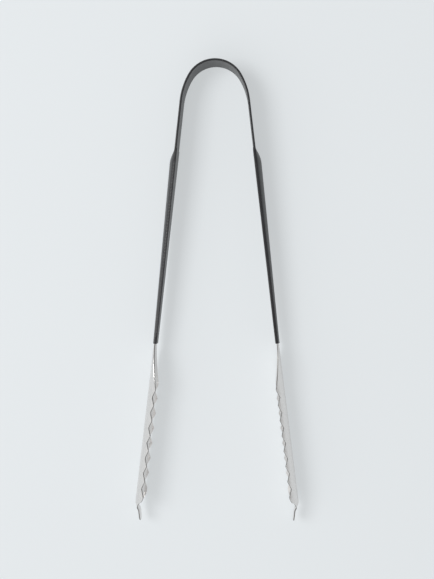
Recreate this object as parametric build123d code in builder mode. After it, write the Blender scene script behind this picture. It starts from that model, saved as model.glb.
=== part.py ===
"""Spring loaded kitchen tongs: one bent stainless strip, covered by a dark moulding down to the jaws.

Frame: X across the spread of the arms, Y along the tongs with the bow at +Y, Z up. The tongs lie
on one side, on Z = 0, and the origin is under the middle of their box. Millimetres and degrees.

The strip is followed by its middle line, from the top of the bow to the tip of one jaw. A place
on it is a run, the length of strip from the top of the bow. The right half is built on section
planes at these runs, and the left half is its mirror image.
"""

from build123d import *
from math import asin, cos, degrees, radians, sin, sqrt
import os

os.makedirs("parts", exist_ok=True)

# ---- strip and moulded cover -------------------------------------------------------------------
strip_thickness = 0.8
cover_face = 0.3             # cover on each broad face of the strip, on the bow and the legs
cover_edge = 0.8             # cover over each narrow edge of the strip
sleeve_width = 22.0          # covered bow, across the strip
sleeve_edge_radius = 0.4

# ---- bow and legs; the radii are those of the sleeve's outer face ------------------------------
crown_radius = 19.55
crown_half_turn = 60.0       # turned by the crown arc on each side of the top
flank_radius = 44.15
leg_tilt = 6.4               # a leg's lean from the long axis, reached at the end of the flank
leg_length = 30.4            # from the flank's end to the grip
hinge_runs = (10.0, 29.0, 50.0)   # where the flexing bow is divided into rigid links

# ---- grips -------------------------------------------------------------------------------------
grip_length = 126.6
grip_end_width = 11.6
grip_wall = 0.6              # on the strip's inner face
grip_top_crown = 3.0         # rise of the outer face between its two rims
grip_end_crown = 1.0
shoulder_length = 9.75       # rounded start of the crowned face
grip_end_radius = 0.3        # rim around the jaw end

# ---- jaws --------------------------------------------------------------------------------------
root_length = 20.0           # the strip takes its curve inside the grip's end
root_sagitta = 0.8           # curve at the grip's end, outwards from the strip's edges
flare_length = 29.1          # the curved strip opens into the trough
jaw_tilt = 6.9               # lean of the flare and the trough
jaw_width = 22.0
jaw_radius = 14.0            # outer face of the trough
tooth_pitch = 9.84
tooth_count = 7              # whole pitches along each edge
tooth_depth = 2.5            # along the sheet
lower_edge_lead = 2.3        # the lower edge's teeth sit this much nearer the bow
tooth_rounding = 0.7
neck_length = 9.0            # trough narrows into the lip
neck_bend = 44.0             # turn inwards over the neck's second half
lip_root_length = 3.0        # where the lip turns back
lip_root_bend = 31.0
lip_length = 5.9             # straight part
lip_width = 10.0
lip_corner_radius = 4.0

# ---- worked out --------------------------------------------------------------------------------
sleeve_thickness = strip_thickness + 2 * cover_face
strip_width = sleeve_width - 2 * cover_edge
root_end_width = grip_end_width - 2 * cover_edge
root_start_width = root_end_width + (strip_width - root_end_width) * root_length / grip_length
root_bend = degrees(2 * root_sagitta / root_length)   # sets the curve's back out by its sagitta
middle_height = max(sleeve_width, jaw_width) / 2
leg_turn = 90 - leg_tilt

crown_run = radians(crown_half_turn) * (crown_radius - sleeve_thickness / 2)
flank_run = radians(leg_turn - crown_half_turn) * (flank_radius - sleeve_thickness / 2)
teeth_length = tooth_count * tooth_pitch

# Stretches of the middle line from the top of the bow: length, and how far the strip turns in.
stretches = (
    (crown_run, crown_half_turn),
    (flank_run, leg_turn - crown_half_turn),
    (leg_length + grip_length - root_length, 0),
    (root_length / 2, -root_bend),
    (root_length / 2, root_bend + leg_tilt - jaw_tilt),
    (flare_length + teeth_length + neck_length / 2, 0),
    (neck_length / 2, neck_bend),
    (lip_root_length, -lip_root_bend),
    (lip_length, 0),
)

flank_end = crown_run + flank_run
grip_top = flank_end + leg_length
grip_end = grip_top + grip_length
root_start = grip_end - root_length
flare_end = grip_end + flare_length
teeth_end = flare_end + teeth_length
neck_end = teeth_end + neck_length
lip_root_end = neck_end + lip_root_length
lip_end = lip_root_end + lip_length


def follow(run):
    """Place and turn of the middle line at a run, with the top of the bow at (0, 0)."""
    x, y, turn = 0.0, 0.0, 0.0
    side = 1 if run >= 0 else -1
    left_over = abs(run)
    for length, bend in stretches:
        step = min(left_over, length)
        half_bend = radians(bend * step / length) / 2
        chord = step * sin(half_bend) / half_bend if half_bend else step
        heading = radians(turn) + half_bend
        x += chord * cos(heading)
        y -= chord * sin(heading)
        turn += 2 * degrees(half_bend)
        left_over -= step
    return side * x, y, side * turn


_, lip_end_y, lip_end_turn = follow(lip_end)
end_overhang = strip_thickness / 2 * abs(cos(radians(lip_end_turn)))
overall_length = sleeve_thickness / 2 - lip_end_y + end_overhang
bow_line_top = overall_length / 2 - sleeve_thickness / 2


def station(run):
    """Section plane at a run: its X points out of the bow, its Y up, its Z on along the strip."""
    x, y, turn = follow(run)
    out = (sin(radians(turn)), cos(radians(turn)), 0)
    along = (cos(radians(turn)), -sin(radians(turn)), 0)
    return Plane(origin=(x, y + bow_line_top, middle_height), x_dir=out, z_dir=along)


def flat_plane(run):
    """Plane in the strip's middle surface at a run: its X points on along the strip."""
    here = station(run)
    return Plane(origin=here.origin, x_dir=here.z_dir, z_dir=here.x_dir)


def side_plane(run):
    """Plane square to Z at a run: its X points on along the strip, its Y out of the bow."""
    here = station(run)
    return Plane(origin=here.origin, x_dir=here.z_dir, z_dir=here.y_dir)


def band(start, end, thickness, width):
    """Strip of one thickness and width along the middle line between two runs."""
    bends = (-flank_end, -crown_run, crown_run, flank_end)
    breaks = [run for run in bends if start < run < end]
    runs = [start, *breaks, end]
    with BuildPart() as strip:
        with BuildSketch(Plane.XY.offset(middle_height)):
            with BuildLine():
                for here, there in zip(map(station, runs[:-1]), map(station, runs[1:])):
                    if here.z_dir.get_angle(there.z_dir) < 1e-6:
                        Line(here.origin, there.origin)
                    else:
                        TangentArc(here.origin, there.origin, tangent=here.z_dir)
            trace(line_width=thickness)
        extrude(amount=width / 2, both=True)
    return strip.part


def sleeve_band(start, end, strip):
    """Moulded cover between two runs, with rounded long edges, around the strip that it holds."""
    with BuildPart() as sleeve:
        add(band(start, end, sleeve_thickness, sleeve_width))
        rims = sleeve.faces().filter_by(Axis.Z).edges()
        fillet(rims.filter_by(lambda rim: rim.length > 1.01 * sleeve_thickness), sleeve_edge_radius)
        add(strip, mode=Mode.SUBTRACT)
    return sleeve.part


def sheet_section(run, width, sagitta):
    """Cross-section of the jaw's sheet: a curved band, or a flat one where there is no sagitta."""
    with BuildSketch(station(run)) as section:
        if sagitta == 0:
            Rectangle(strip_thickness, width)
        else:
            radius = ((width / 2) ** 2 + sagitta**2) / (2 * sagitta)
            half_angle = degrees(asin(width / 2 / radius))
            centre = (strip_thickness / 2 - radius, 0)
            inner_radius = radius - strip_thickness
            with BuildLine():
                outer = CenterArc(centre, radius, -half_angle, 2 * half_angle)
                inner = CenterArc(centre, inner_radius, -half_angle, 2 * half_angle)
                Line(outer @ 0, inner @ 0)
                Line(outer @ 1, inner @ 1)
            make_face()
    return section.sketch


def grip_section(from_top, width, crown):
    """Cross-section of a grip: flat inner face, square rims and a crowned outer face."""
    inner = -strip_thickness / 2 - grip_wall
    rim = sleeve_thickness / 2
    with BuildSketch(station(grip_top).offset(from_top)) as section:
        with BuildLine():
            Polyline((rim, width / 2), (inner, width / 2), (inner, -width / 2), (rim, -width / 2))
            ThreePointArc((rim, -width / 2), (rim + crown, 0), (rim, width / 2))
        make_face()
        fillet(section.vertices().group_by(Axis.X)[0], sleeve_edge_radius)
    return section.sketch


# ---- steel of the right arm: leg, core of the grip, flare, trough, neck and lip ----------------
jaw_sagitta = jaw_radius - sqrt(jaw_radius**2 - (jaw_width / 2) ** 2)
flange_angle = asin(jaw_width / 2 / jaw_radius)
root_steps = 2
flare_steps = 4
neck_steps = 4


def flange_plane(side):
    """Plane in the trough's flange on one side, at the first tooth: X along, Y into the sheet."""
    here = station(flare_end)
    middle_radius = jaw_radius - strip_thickness / 2
    out = here.x_dir * cos(flange_angle)
    up = here.y_dir * sin(flange_angle)
    edge = here.origin + (out + up * side - here.x_dir) * middle_radius
    return Plane(origin=edge, x_dir=here.z_dir, z_dir=out * side + up)


def tooth_line(lead):
    """Peaks and valleys of a toothed edge, moved towards the bow by a lead."""
    return [
        (half / 2 * tooth_pitch - lead, tooth_depth if half % 2 else 0)
        for half in range(2 * tooth_count + 1)
    ]


with BuildPart() as right_arm:
    add(band(hinge_runs[-1], grip_top, strip_thickness, strip_width))
    with BuildSketch(flat_plane(grip_top)):
        with BuildLine():
            Polyline(
                (0, strip_width / 2),
                (grip_length - root_length, root_start_width / 2),
                (grip_length - root_length, -root_start_width / 2),
                (0, -strip_width / 2),
                close=True,
            )
        make_face()
    extrude(amount=strip_thickness / 2, both=True)

    root = []
    for step in range(root_steps + 1):
        share = step / root_steps
        width = root_start_width + (root_end_width - root_start_width) * share
        root.append(sheet_section(root_start + share * root_length, width, share * root_sagitta))
    loft(root)

    flare = []
    for step in range(flare_steps + 1):
        share = step / flare_steps
        width = root_end_width + (jaw_width - root_end_width) * (1 - (1 - share) ** 2)
        sagitta = root_sagitta + (jaw_sagitta - root_sagitta) * share**1.5
        flare.append(sheet_section(grip_end + share * flare_length, width, sagitta))
    loft(flare)

    trough = sheet_section(flare_end, jaw_width, jaw_sagitta)
    extrude(trough, amount=teeth_length, dir=station(flare_end).z_dir)

    neck = []
    for step in range(neck_steps + 1):
        share = step / neck_steps
        width = jaw_width - (jaw_width - lip_width) * share**2 * (3 - 2 * share)
        sagitta = jaw_sagitta * (1 - share**2)
        neck.append(sheet_section(teeth_end + share * neck_length, width, sagitta))
    loft(neck)

    add(band(neck_end, lip_root_end, strip_thickness, lip_width))
    with BuildSketch(flat_plane(lip_root_end)) as lip:
        Rectangle(lip_length, lip_width, align=(Align.MIN, Align.CENTER))
        fillet(lip.vertices().sort_by(Axis.X)[-2:], lip_corner_radius)
    extrude(amount=strip_thickness / 2, both=True)

    # Teeth along the upper and the lower edge.
    for side, lead in ((1, 0), (-1, lower_edge_lead)):
        corners = tooth_line(lead)
        with BuildSketch(flange_plane(side)):
            with BuildLine():
                zigzag = FilletPolyline(*corners, radius=tooth_rounding)
                Polyline(
                    zigzag @ 0,
                    (corners[0][0], -tooth_depth),
                    (corners[-1][0], -tooth_depth),
                    zigzag @ 1,
                )
            make_face()
        extrude(amount=2 * strip_thickness, both=True, mode=Mode.SUBTRACT)

# ---- right grip, moulded around the strip ------------------------------------------------------
with BuildPart() as right_grip:
    top_section = grip_section(0, sleeve_width, grip_top_crown)
    end_section = grip_section(grip_length, grip_end_width, grip_end_crown)
    loft([top_section, end_section], ruled=True)

    # Rounded start of the crowned face, an arc that runs level into the crown.
    shoulder_radius = (shoulder_length**2 + grip_top_crown**2) / (2 * grip_top_crown)
    with BuildSketch(side_plane(grip_top)):
        with Locations((0, sleeve_thickness / 2)):
            Rectangle(shoulder_length, 2 * grip_top_crown, align=Align.MIN)
        with Locations((shoulder_length, sleeve_thickness / 2 + grip_top_crown - shoulder_radius)):
            Circle(shoulder_radius, mode=Mode.SUBTRACT)
    extrude(amount=sleeve_width / 2, both=True, mode=Mode.SUBTRACT)

    jaw_end = right_grip.faces().sort_by(Axis.Y)[0]
    fillet(jaw_end.edges(), grip_end_radius)
    add(right_arm.part, mode=Mode.SUBTRACT)

# ---- legs and bow ------------------------------------------------------------------------------


def mirrored(right_piece):
    """The left-hand twin of a right-hand piece."""
    with BuildPart() as left_piece:
        mirror(right_piece, about=Plane.YZ)
    return left_piece.part


def write(piece, name):
    """Label a finished piece and write its file."""
    piece.label = name
    export_step(piece, f"parts/{name}.step")


with BuildPart() as right_leg_sleeve:
    add(sleeve_band(hinge_runs[-1], grip_top, right_arm.part))

with BuildPart() as crown_strip:
    add(band(-hinge_runs[0], hinge_runs[0], strip_thickness, strip_width))

with BuildPart() as crown_sleeve:
    add(sleeve_band(-hinge_runs[0], hinge_runs[0], crown_strip.part))

write(crown_strip.part, "spring_strip_crown")
write(crown_sleeve.part, "bow_sleeve_crown")

right_pieces = {
    "arm": right_arm.part,
    "grip": right_grip.part,
    "leg_sleeve": right_leg_sleeve.part,
}
for number, (start, end) in enumerate(zip(hinge_runs[:-1], hinge_runs[1:]), start=1):
    with BuildPart() as link_strip:
        add(band(start, end, strip_thickness, strip_width))
    with BuildPart() as link_sleeve:
        add(sleeve_band(start, end, link_strip.part))
    right_pieces[f"spring_strip_{number}"] = link_strip.part
    right_pieces[f"bow_sleeve_{number}"] = link_sleeve.part

for name, piece in right_pieces.items():
    write(mirrored(piece), f"left_{name}")
    write(piece, f"right_{name}")

print(f"overall length {overall_length:.2f}")
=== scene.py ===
from math import asin, atan, cos, pi, radians, sin, sqrt

import bpy
from mathutils import Matrix, Vector


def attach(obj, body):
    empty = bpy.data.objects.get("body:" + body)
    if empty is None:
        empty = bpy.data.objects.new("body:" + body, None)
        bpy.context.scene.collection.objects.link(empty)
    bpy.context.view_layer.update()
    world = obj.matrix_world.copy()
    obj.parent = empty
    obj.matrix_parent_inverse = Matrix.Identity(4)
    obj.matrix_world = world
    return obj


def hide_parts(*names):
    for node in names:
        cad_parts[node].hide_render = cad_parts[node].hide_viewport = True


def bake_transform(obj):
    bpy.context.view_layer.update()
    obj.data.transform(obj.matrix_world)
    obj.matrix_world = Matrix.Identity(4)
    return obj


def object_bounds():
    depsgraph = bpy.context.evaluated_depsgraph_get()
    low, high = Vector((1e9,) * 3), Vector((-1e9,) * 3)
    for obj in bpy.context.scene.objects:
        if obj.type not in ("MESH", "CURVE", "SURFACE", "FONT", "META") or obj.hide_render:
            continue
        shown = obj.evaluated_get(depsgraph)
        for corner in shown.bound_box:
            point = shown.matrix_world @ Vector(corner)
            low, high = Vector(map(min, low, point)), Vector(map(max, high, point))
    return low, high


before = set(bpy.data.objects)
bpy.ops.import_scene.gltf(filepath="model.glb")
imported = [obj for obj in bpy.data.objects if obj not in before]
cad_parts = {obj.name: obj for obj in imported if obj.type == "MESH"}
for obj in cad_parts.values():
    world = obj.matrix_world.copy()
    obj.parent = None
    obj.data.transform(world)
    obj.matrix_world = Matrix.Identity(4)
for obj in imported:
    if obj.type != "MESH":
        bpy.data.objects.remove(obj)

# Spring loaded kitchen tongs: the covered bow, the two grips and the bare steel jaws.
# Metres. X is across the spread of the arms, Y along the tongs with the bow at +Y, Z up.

cad_low, cad_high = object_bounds()
MM = 0.001

# ---- sizes, as the frame has them --------------------------------------------------------------
strip_thickness = 0.8 * MM
cover_face = 0.3 * MM
sleeve_thickness = strip_thickness + 2 * cover_face
sleeve_width = 22.0 * MM
sleeve_edge_radius = 0.4 * MM
middle_height = cad_high.z / 2
bow_line_top = cad_high.y - sleeve_thickness / 2

crown_radius = 19.55 * MM    # crown and flank radii are those of the sleeve's outer face
crown_half_turn = radians(60)
crown_run = crown_half_turn * (crown_radius - sleeve_thickness / 2)
leg_tilt = radians(6.4)
flank_radius = 44.15 * MM
flank_turn = pi / 2 - leg_tilt - crown_half_turn
flank_run = flank_turn * (flank_radius - sleeve_thickness / 2)
flank_end = crown_run + flank_run
leg_length = 30.4 * MM
grip_top = flank_end + leg_length
hinge_runs = (10.0 * MM, 29.0 * MM, 50.0 * MM)

grip_length = 126.6 * MM
grip_end = grip_top + grip_length
grip_end_width = 11.6 * MM
grip_wall = 0.6 * MM
grip_top_crown = 3.0 * MM
grip_end_crown = 1.0 * MM
grip_end_radius = 0.3 * MM
shoulder_length = 9.75 * MM

root_length = 20.0 * MM
root_start = grip_end - root_length
root_sagitta = 0.8 * MM
root_bend = 2 * root_sagitta / root_length
strip_width = 20.4 * MM
root_end_width = 10.0 * MM
flare_length = 29.1 * MM
flare_end = grip_end + flare_length
jaw_tilt = radians(6.9)
jaw_width = 22.0 * MM
jaw_radius = 14.0 * MM
jaw_sagitta = jaw_radius - sqrt(jaw_radius**2 - (jaw_width / 2) ** 2)
tooth_pitch = 9.84 * MM
tooth_count = 7
teeth_length = tooth_count * tooth_pitch
tooth_depth = 2.5 * MM
tooth_rounding = 0.7 * MM
lower_edge_lead = 2.3 * MM
teeth_end = flare_end + teeth_length
neck_length = 9.0 * MM
neck_turn = radians(44)
neck_end = teeth_end + neck_length
lip_root_length = 3.0 * MM
lip_root_end = neck_end + lip_root_length
lip_root_turn = radians(-31)
lip_length = 5.9 * MM
lip_width = 10.0 * MM
lip_corner_radius = 4.0 * MM
lip_end = lip_root_end + lip_length
sheet_bevel = 0.1 * MM       # dulling of the sheet's sheared edges
flat_sagitta = 0.02 * MM     # least curve, so that a flat sheet is an arc too

# Stretches of the strip's middle line from the top of the bow: length, and how far it turns in.
stretches = (
    (crown_run, crown_half_turn),
    (flank_run, flank_turn),
    (root_start - flank_end, 0),
    (root_length / 2, -root_bend),
    (root_length / 2, root_bend + leg_tilt - jaw_tilt),
    (flare_length + teeth_length + neck_length / 2, 0),
    (neck_length / 2, neck_turn),
    (lip_root_length, lip_root_turn),
    (lip_length, 0),
)


def station(run):
    """Point of the right-hand middle line at a run, and the direction out of the bow there."""
    x, y, turn = 0.0, bow_line_top, 0.0
    left_over = run
    for length, bend in stretches:
        step = min(left_over, length)
        half_bend = bend * step / length / 2
        chord = step * sin(half_bend) / half_bend if half_bend else step
        x += chord * cos(turn + half_bend)
        y -= chord * sin(turn + half_bend)
        turn += 2 * half_bend
        left_over -= step
    return Vector((x, y, middle_height)), Vector((sin(turn), cos(turn), 0))


def grip_station(run):
    """Like station, but along the straight line of the leg, as the grips are."""
    place, out = station(grip_top)
    return place + Vector((out.y, -out.x, 0)) * (run - grip_top), out


def steps(start, end, spacing):
    """Even runs from start to end, both included."""
    count = max(1, round((end - start) / spacing))
    return [start + (end - start) * i / count for i in range(count + 1)]


def eased(end, radius, count):
    """Runs of a round end, from radius before it to the end, closer together near the end."""
    return [end - radius * (1 - sin(pi / 2 * i / count)) for i in range(1, count + 1)]


sharp_angle = radians(35)


def swept(name, side, runs, line, section, material, edge_material=None):
    """Closed mesh along a line, on the right (side 1) or mirrored to the left (-1).

    line(run) gives a point and the direction out of the bow there. section(run) gives two lists
    of (out, up) points from the lower edge to the upper edge, one along the outer face and one
    along the inner face, with as many points in each. The faces that join the two lists, and
    the ends, take the edge material where there is one.
    """
    vertices, faces, edge_faces = [], [], []
    for run in runs:
        place, out = line(run)
        outer, inner = section(run)
        for across, up in outer + inner[::-1]:
            point = place + out * across
            vertices.append((side * point.x, point.y, point.z + up))
    half = len(outer)
    loop = 2 * half
    for ring in range(len(runs) - 1):
        for here in range(loop):
            after = (here + 1) % loop
            first, second = ring * loop, (ring + 1) * loop
            if here in (half - 1, loop - 1):
                edge_faces.append(len(faces))
            faces.append((first + here, first + after, second + after, second + here))
    for first, turned in ((0, 1), ((len(runs) - 1) * loop, -1)):
        for low in range(half - 1):
            high = loop - 1 - low
            edge_faces.append(len(faces))
            faces.append((first + low, first + high, first + high - 1, first + low + 1)[::turned])
    mesh = bpy.data.meshes.new(name)
    mesh.from_pydata(vertices, [], [face[::side] for face in faces])
    mesh.shade_smooth()
    mesh.set_sharp_from_angle(angle=sharp_angle)
    mesh.materials.append(material)
    if edge_material:
        mesh.materials.append(edge_material)
        for face in edge_faces:
            mesh.polygons[face].material_index = 1
    piece = bpy.data.objects.new(name, mesh)
    bpy.context.scene.collection.objects.link(piece)
    return piece


def rounded_corner(before, corner, after, reach, count=5):
    """Points of a corner softened from reach before it to reach after it."""
    corner = Vector(corner)
    start = corner + (Vector(before) - corner).normalized() * reach
    end = corner + (Vector(after) - corner).normalized() * reach
    shares = [i / count for i in range(count + 1)]
    return [tuple(start * (1 - t) ** 2 + corner * 2 * t * (1 - t) + end * t * t) for t in shares]


# ---- sections ----------------------------------------------------------------------------------
face_points = 20


def cover_section(width, inner, rim, crown):
    """Flat inner face, rims square to it and an outer face that rises by crown between them."""
    half = width / 2
    chord_count = 2 * face_points
    arc = []
    for i in range(chord_count + 1):
        up = half * (2 * i / chord_count - 1)
        arc.append((rim + crown * (1 - (up / half) ** 2), up))
    reach = sleeve_edge_radius
    lower = rounded_corner((inner, -half), (rim, -half), arc[1], reach)
    upper = rounded_corner(arc[-2], (rim, half), (inner, half), reach)
    clear_of_corners = half - 1.5 * reach
    outer = lower + [p for p in arc if abs(p[1]) < clear_of_corners] + upper
    inner_lower = rounded_corner((rim, -half), (inner, -half), (inner, half), reach)
    inner_upper = rounded_corner((inner, -half), (inner, half), (rim, half), reach)
    flat_count = len(outer) - len(inner_lower) - len(inner_upper)
    flat = [(inner, half * (2 * (i + 1) / (flat_count + 1) - 1)) for i in range(flat_count)]
    return outer, inner_lower + flat + inner_upper


def sleeve_section(run):
    """Sleeve's section, which is the same at every run."""
    return cover_section(sleeve_width, -sleeve_thickness / 2, sleeve_thickness / 2, crown=0)


def grip_section(run):
    """Grip's section, with its rounded start and the softened rim of its jaw end."""
    share = (run - grip_top) / grip_length
    width = sleeve_width + (grip_end_width - sleeve_width) * share
    crown = grip_top_crown + (grip_end_crown - grip_top_crown) * share
    to_start = min(1, (run - grip_top) / shoulder_length)
    crown *= 1 - (1 - to_start) ** 2
    to_end = max(0, 1 - (grip_end - run) / grip_end_radius)
    inset = grip_end_radius * (1 - sqrt(1 - to_end**2))
    inner = -strip_thickness / 2 - grip_wall
    return cover_section(width - 2 * inset, inner + inset, sleeve_thickness / 2 - inset, crown)


def tooth_cut(run, lead):
    """Depth of a toothed edge at a run: even teeth with rounded peaks and valleys."""
    from_start = run - flare_end + lead
    if not 0 <= from_start <= teeth_length:
        return 0
    half_pitch = tooth_pitch / 2
    slope = tooth_depth / half_pitch
    to_peak = abs((from_start + half_pitch) % tooth_pitch - half_pitch)
    depth = slope * to_peak
    tilt = atan(slope)
    reach = tooth_rounding * sin(tilt)
    to_corner = min(to_peak, half_pitch - to_peak)
    if to_corner < reach:
        flat = tooth_rounding / cos(tilt) - sqrt(tooth_rounding**2 - to_corner**2)
        depth = flat if to_peak < half_pitch / 2 else tooth_depth - flat
    return depth


def sheet_form(run):
    """Width and sagitta of the steel sheet at a run, before its teeth are cut."""
    if run < grip_end:
        share = (run - grip_top) / grip_length
        in_root = max(0, (run - root_start) / root_length)
        risen = 2 * in_root**2 if in_root < 0.5 else 1 - 2 * (1 - in_root) ** 2
        return strip_width + (root_end_width - strip_width) * share, risen * root_sagitta
    if run < flare_end:
        share = (run - grip_end) / flare_length
        opened = 1 - (1 - share) ** 2
        sagitta = root_sagitta + (jaw_sagitta - root_sagitta) * share**1.5
        return root_end_width + (jaw_width - root_end_width) * opened, sagitta
    if run < teeth_end:
        return jaw_width, jaw_sagitta
    if run < neck_end:
        share = (run - teeth_end) / neck_length
        narrowed = share**2 * (3 - 2 * share)
        return jaw_width - (jaw_width - lip_width) * narrowed, jaw_sagitta * (1 - share**2)
    corner = max(0, lip_corner_radius - (lip_end - run))
    narrowing = lip_corner_radius - sqrt(lip_corner_radius**2 - corner**2)
    return lip_width - 2 * narrowing, 0


def sheet_section(run):
    """Curved or flat band of the sheet's thickness, with dulled edges."""
    width, sagitta = sheet_form(run)
    sagitta = max(sagitta, flat_sagitta)
    radius = ((width / 2) ** 2 + sagitta**2) / (2 * sagitta)
    half_angle = asin(width / 2 / radius)
    middle_radius = radius - strip_thickness / 2
    low = -half_angle + tooth_cut(run, lower_edge_lead) / middle_radius
    high = half_angle - tooth_cut(run, 0) / middle_radius
    bevel = sheet_bevel / middle_radius
    centre = strip_thickness / 2 - radius

    def at(distance, angle):
        return centre + distance * cos(angle), distance * sin(angle)

    angles = [low + bevel + (high - low - 2 * bevel) * i / face_points for i in range(face_points + 1)]
    outer_radius, inner_radius = radius, radius - strip_thickness
    outer = [at(outer_radius, angle) for angle in angles]
    inner = [at(inner_radius, angle) for angle in angles]
    outer = [at(outer_radius - sheet_bevel, low), *outer, at(outer_radius - sheet_bevel, high)]
    inner = [at(inner_radius + sheet_bevel, low), *inner, at(inner_radius + sheet_bevel, high)]
    return outer, inner


# ---- materials ---------------------------------------------------------------------------------
def material(name, base, metallic, roughness):
    """Principled material, and its node tree, shader and object coordinates."""
    made = bpy.data.materials.new(name)
    made.use_nodes = True
    shader = made.node_tree.nodes["Principled BSDF"]
    shader.inputs["Base Color"].default_value = (*base, 1)
    shader.inputs["Metallic"].default_value = metallic
    shader.inputs["Roughness"].default_value = roughness
    place = made.node_tree.nodes.new("ShaderNodeTexCoord")
    return made, shader, place


def noise(made, place, per_metre, detail, stretch=(1, 1, 1)):
    """Noise of a scale given in cycles to the metre. A stretch under 1 draws it out that way."""
    nodes, links = made.node_tree.nodes, made.node_tree.links
    mapping = nodes.new("ShaderNodeMapping")
    mapping.inputs["Scale"].default_value = stretch
    texture = nodes.new("ShaderNodeTexNoise")
    texture.inputs["Scale"].default_value = per_metre
    texture.inputs["Detail"].default_value = detail
    links.new(place.outputs["Object"], mapping.inputs["Vector"])
    links.new(mapping.outputs["Vector"], texture.inputs["Vector"])
    return texture.outputs["Fac"]


noise_low, noise_high = 0.3, 0.7     # most of a noise's values lie between these


def ranged(made, value, low, high):
    """A noise value spread over a range."""
    node = made.node_tree.nodes.new("ShaderNodeMapRange")
    node.inputs["From Min"].default_value = noise_low
    node.inputs["From Max"].default_value = noise_high
    node.inputs["To Min"].default_value = low
    node.inputs["To Max"].default_value = high
    made.node_tree.links.new(value, node.inputs["Value"])
    return node.outputs["Result"]


def mixed(made, value, dark, light):
    """Colour between two by a noise value."""
    node = made.node_tree.nodes.new("ShaderNodeMix")
    node.data_type = "RGBA"
    node.inputs["A"].default_value = (*dark, 1)
    node.inputs["B"].default_value = (*light, 1)
    made.node_tree.links.new(value, node.inputs["Factor"])
    return node.outputs["Result"]


def bumped(made, shader, value, height):
    """Small relief from a noise value, of a height in metres."""
    node = made.node_tree.nodes.new("ShaderNodeBump")
    node.inputs["Distance"].default_value = height
    made.node_tree.links.new(value, node.inputs["Height"])
    made.node_tree.links.new(node.outputs["Normal"], shader.inputs["Normal"])


def soft_touch_cover():
    """Dark rubbery moulding with a fine matte grain."""
    made, shader, place = material(
        "soft_touch_cover", base=(0.015, 0.015, 0.017), metallic=0, roughness=0.40
    )
    grain = noise(made, place, per_metre=2600, detail=4)
    cloud = noise(made, place, per_metre=90, detail=3)
    links = made.node_tree.links
    colour = mixed(made, cloud, dark=(0.011, 0.011, 0.013), light=(0.019, 0.019, 0.021))
    links.new(colour, shader.inputs["Base Color"])
    links.new(ranged(made, grain, low=0.35, high=0.46), shader.inputs["Roughness"])
    shader.inputs["Sheen Weight"].default_value = 0.08
    shader.inputs["Sheen Roughness"].default_value = 0.35
    bumped(made, shader, grain, height=0.02 * MM)
    return made


def satin_steel():
    """Stainless sheet with a fine lengthwise grain."""
    made, shader, place = material(
        "stainless_steel", base=(0.78, 0.76, 0.745), metallic=1, roughness=0.28
    )
    grain = noise(made, place, per_metre=1500, detail=1, stretch=(1, 0.02, 1))
    cloud = noise(made, place, per_metre=60, detail=2)
    links = made.node_tree.links
    colour = mixed(made, cloud, dark=(0.75, 0.73, 0.715), light=(0.81, 0.79, 0.775))
    links.new(colour, shader.inputs["Base Color"])
    links.new(ranged(made, grain, low=0.22, high=0.33), shader.inputs["Roughness"])
    bumped(made, shader, grain, height=0.0015 * MM)
    return made


def cut_steel_with_painted_shade():
    """Sheared edge of the sheet, rougher than its faces, and darker partly from duller shearing and
    partly as painted shade.
    """
    # The dark base colour is partly the duller shear and partly painted shade along the edge lines.
    made, shader, place = material(
        "stainless_steel_cut_edge", base=(0.245, 0.24, 0.235), metallic=1, roughness=0.42
    )
    grain = noise(made, place, per_metre=2500, detail=3)
    colour = mixed(made, grain, dark=(0.20, 0.195, 0.19), light=(0.29, 0.285, 0.28))
    made.node_tree.links.new(colour, shader.inputs["Base Color"])
    bumped(made, shader, grain, height=0.01 * MM)
    return made


cover = soft_touch_cover()
steel = satin_steel()
cut_edge = cut_steel_with_painted_shade()

# ---- bow: the cover in stretches, from one break to the next -----------------------------------
bow_breaks = (
    0,
    (hinge_runs[0] + hinge_runs[1]) / 2,
    (hinge_runs[1] + hinge_runs[2]) / 2,
    grip_top,
)
bow_spacing = 0.5 * MM


def bow_cover(hand, side, number, hidden):
    """Stretch of the cover from one break to the next, baked in place and bound to no body.

    It takes the place of the hidden nodes.
    """
    start, end = bow_breaks[number], bow_breaks[number + 1]
    piece = swept(
        f"{hand}_bow_cover_{number + 1}", side, steps(start, end, bow_spacing),
        station, sleeve_section, cover,
    )
    first, last = station(start)[0], station(end)[0]
    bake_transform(piece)
    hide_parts(*hidden)


# ---- grips -------------------------------------------------------------------------------------
shoulder_spacing = 0.4 * MM
shank_spacing = 2 * MM
rim_steps = 6


def grip_moulding(hand, side, body):
    """Grip with its rounded start, straight shank and softened jaw end."""
    shoulder = steps(grip_top, grip_top + shoulder_length, shoulder_spacing)
    shank = steps(grip_top + shoulder_length, grip_end - grip_end_radius, shank_spacing)
    runs = shoulder + shank[1:] + eased(grip_end, grip_end_radius, rim_steps)
    piece = swept(
        f"{hand}_grip_moulding", side, runs,
        grip_station, grip_section, cover,
    )
    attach(piece, body)
    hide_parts(f"{hand}_grip")


# ---- jaws --------------------------------------------------------------------------------------
buried_length = 10 * MM      # steel drawn inside the grip's end
buried_spacing = 1 * MM
flare_spacing = 0.6 * MM
tooth_spacing = 0.2 * MM
lip_spacing = 0.5 * MM
lip_corner_steps = 16


def jaw_sheet(hand, side, body):
    """Steel from inside the grip's end to the lip, with finer steps where its edges change."""
    first_tooth = flare_end - lower_edge_lead
    runs = (
        steps(grip_end - buried_length, grip_end, buried_spacing)
        + steps(grip_end, first_tooth, flare_spacing)[1:]
        + steps(first_tooth, teeth_end, tooth_spacing)[1:]
        + steps(teeth_end, neck_end, tooth_spacing)[1:]
        + steps(neck_end, lip_end - lip_corner_radius, lip_spacing)[1:]
        + eased(lip_end, lip_corner_radius, lip_corner_steps)[:-1]
    )
    piece = swept(
        f"{hand}_jaw_sheet", side, runs,
        station, sheet_section, steel, cut_edge,
    )
    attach(piece, body)
    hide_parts(f"{hand}_arm")


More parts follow.
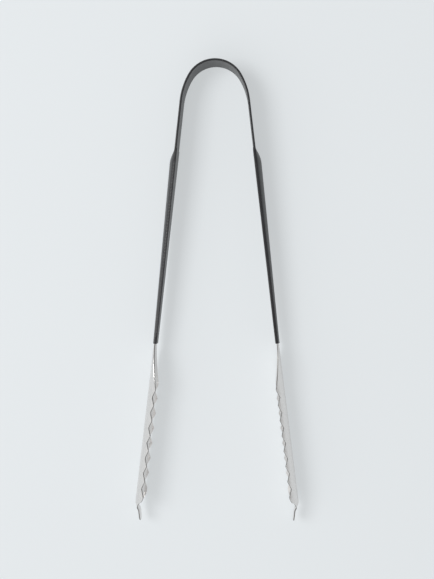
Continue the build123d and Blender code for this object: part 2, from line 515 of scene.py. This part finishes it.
for hand, side in (("right", 1), ("left", -1)):
    bodies = ["bow_crown", f"{hand}_bow_link_1", f"{hand}_bow_link_2", f"{hand}_handle_and_jaw"]
    bow_cover(hand, side, 0, ("bow_sleeve_crown", f"{hand}_bow_sleeve_1"))
    bow_cover(hand, side, 1, (f"{hand}_bow_sleeve_2",))
    bow_cover(hand, side, 2, (f"{hand}_leg_sleeve",))
    grip_moulding(hand, side, bodies[-1])
    jaw_sheet(hand, side, bodies[-1])

for name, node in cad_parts.items():
    node.data.materials.clear()
    node.data.materials.append(steel if "strip" in name or name.endswith("_arm") else cover)

# ---- floor -------------------------------------------------------------------------------------
floor_half = 6               # half of the floor's side
floor_mesh = bpy.data.meshes.new("floor")
floor_corners = [(-1, -1), (1, -1), (1, 1), (-1, 1)]
corner_points = [(x * floor_half, y * floor_half, 0) for x, y in floor_corners]
floor_mesh.from_pydata(corner_points, [], [(0, 1, 2, 3)])
floor = bpy.data.objects.new("floor", floor_mesh)
bpy.context.scene.collection.objects.link(floor)
paper = bpy.data.materials.new("floor_paper")
paper.use_nodes = True
paper_shader = paper.node_tree.nodes["Principled BSDF"]
paper_shader.inputs["Roughness"].default_value = 0.9
paper_shader.inputs["Specular IOR Level"].default_value = 0.1
# Seen straight or mirrored, the paper gives part of its light itself, which keeps its shadows soft.
paper_shader.inputs["Emission Color"].default_value = (0.50, 0.52, 0.53, 1)
seen_by = paper.node_tree.nodes.new("ShaderNodeLightPath")
seen = paper.node_tree.nodes.new("ShaderNodeMath")
seen.operation = "MAXIMUM"
paper_colour = paper.node_tree.nodes.new("ShaderNodeMix")
paper_colour.data_type = "RGBA"
paper_colour.inputs["A"].default_value = (0.78, 0.81, 0.83, 1)
paper_colour.inputs["B"].default_value = (0.265, 0.278, 0.287, 1)
paper_links = paper.node_tree.links
paper_links.new(seen_by.outputs["Is Camera Ray"], seen.inputs[0])
paper_links.new(seen_by.outputs["Is Glossy Ray"], seen.inputs[1])
paper_links.new(seen.outputs["Value"], paper_colour.inputs["Factor"])
paper_links.new(paper_colour.outputs["Result"], paper_shader.inputs["Base Color"])
paper_links.new(seen.outputs["Value"], paper_shader.inputs["Emission Strength"])
floor_mesh.materials.append(paper)

# ---- light -------------------------------------------------------------------------------------
world = bpy.data.worlds.new("studio")
bpy.context.scene.world = world
world.use_nodes = True
world_nodes, world_links = world.node_tree.nodes, world.node_tree.links
sky = world_nodes["Background"]
sky.inputs["Color"].default_value = (1, 1, 1, 1)
outwards = world_nodes.new("ShaderNodeTexCoord")
apart = world_nodes.new("ShaderNodeSeparateXYZ")
world_links.new(outwards.outputs["Generated"], apart.inputs["Vector"])


def ramp(value, start, end, before, after):
    """Smooth step of a value in the world's nodes: before up to its start, after from its end."""
    node = world_nodes.new("ShaderNodeMapRange")
    node.interpolation_type = "SMOOTHSTEP"
    node.inputs["From Min"].default_value = start
    node.inputs["From Max"].default_value = end
    node.inputs["To Min"].default_value = before
    node.inputs["To Max"].default_value = after
    world_links.new(value, node.inputs["Value"])
    return node.outputs["Result"]


def combined(operation, first, second):
    """Sum, product or greater of two values, each a number or a socket of the world's nodes."""
    node = world_nodes.new("ShaderNodeMath")
    node.operation = operation
    for socket, value in zip(node.inputs, (first, second)):
        if isinstance(value, float):
            socket.default_value = value
        else:
            world_links.new(value, socket)
    return node.outputs["Value"]


# Bright on the left, a paler wall on the right, and a dark patch overhead where the camera stands.
window_direction = Vector((-0.66, -0.58, 0.48)).normalized()
window_strength = 1.3
dim_wall, pale_wall = 0.15, 0.35
towards_window = world_nodes.new("ShaderNodeVectorMath")
towards_window.operation = "DOT_PRODUCT"
towards_window.inputs[1].default_value = window_direction
world_links.new(outwards.outputs["Generated"], towards_window.inputs[0])
facing = towards_window.outputs["Value"]
window = ramp(facing, start=0.2, end=0.95, before=0, after=window_strength)
overhead = ramp(apart.outputs["Z"], start=0.90, end=0.97, before=1, after=0)
wall = ramp(apart.outputs["X"], start=0.1, end=0.8, before=dim_wall, after=pale_wall)
lit = combined("ADD", combined("MULTIPLY", window, overhead), wall)
# Seen straight or mirrored, the room is paler and more even, and is dark overhead too.
pale_contrast, pale_least = 0.4, 0.36
ceiling_share = 0.25
ray = world_nodes.new("ShaderNodeLightPath")
room = world_nodes.new("ShaderNodeMix")
seen_ray = combined("MAXIMUM", ray.outputs["Is Camera Ray"], ray.outputs["Is Glossy Ray"])
world_links.new(seen_ray, room.inputs["Factor"])
world_links.new(lit, room.inputs["A"])
pale_room = combined("ADD", combined("MULTIPLY", lit, pale_contrast), pale_least)
ceiling = ramp(apart.outputs["Z"], start=0.85, end=0.97, before=1, after=ceiling_share)
world_links.new(combined("MULTIPLY", pale_room, ceiling), room.inputs["B"])
world_links.new(room.outputs["Result"], sky.inputs["Strength"])


def soft_box(name, direction, distance, size, power):
    """Square area lamp that faces the middle of the tongs."""
    lamp = bpy.data.lights.new(name, "AREA")
    lamp.size = size
    lamp.energy = power
    holder = bpy.data.objects.new(name, lamp)
    towards = Vector(direction).normalized()
    holder.location = towards * distance
    holder.rotation_euler = towards.to_track_quat("Z", "Y").to_euler()
    bpy.context.scene.collection.objects.link(holder)


soft_box("key", direction=(-0.54, 0.1, 0.84), distance=1.6, size=0.7, power=14)

# ---- camera ------------------------------------------------------------------------------------
camera_place = Vector((0.0265, 0.0008, 0.715))
camera_aim = Vector((0.0006, 0.0008, middle_height))
view_height = 0.376          # seen at the middle height of the tongs
camera_roll = radians(-0.2)
camera_data = bpy.data.cameras.new("camera")
camera = bpy.data.objects.new("camera", camera_data)
bpy.context.scene.collection.objects.link(camera)
camera.location = camera_place
back = (camera_place - camera_aim).normalized()
across = Vector((cos(camera_roll), sin(camera_roll), 0)).cross(back).cross(back).normalized() * -1
camera.rotation_euler = Matrix((across, back.cross(across), back)).transposed().to_euler()
camera_data.sensor_width = 36    # lies along the frame's height, its longer side
camera_data.lens = camera_data.sensor_width / view_height * (camera_place - camera_aim).length
bpy.context.scene.camera = camera
bpy.context.scene.view_settings.view_transform = "Standard"
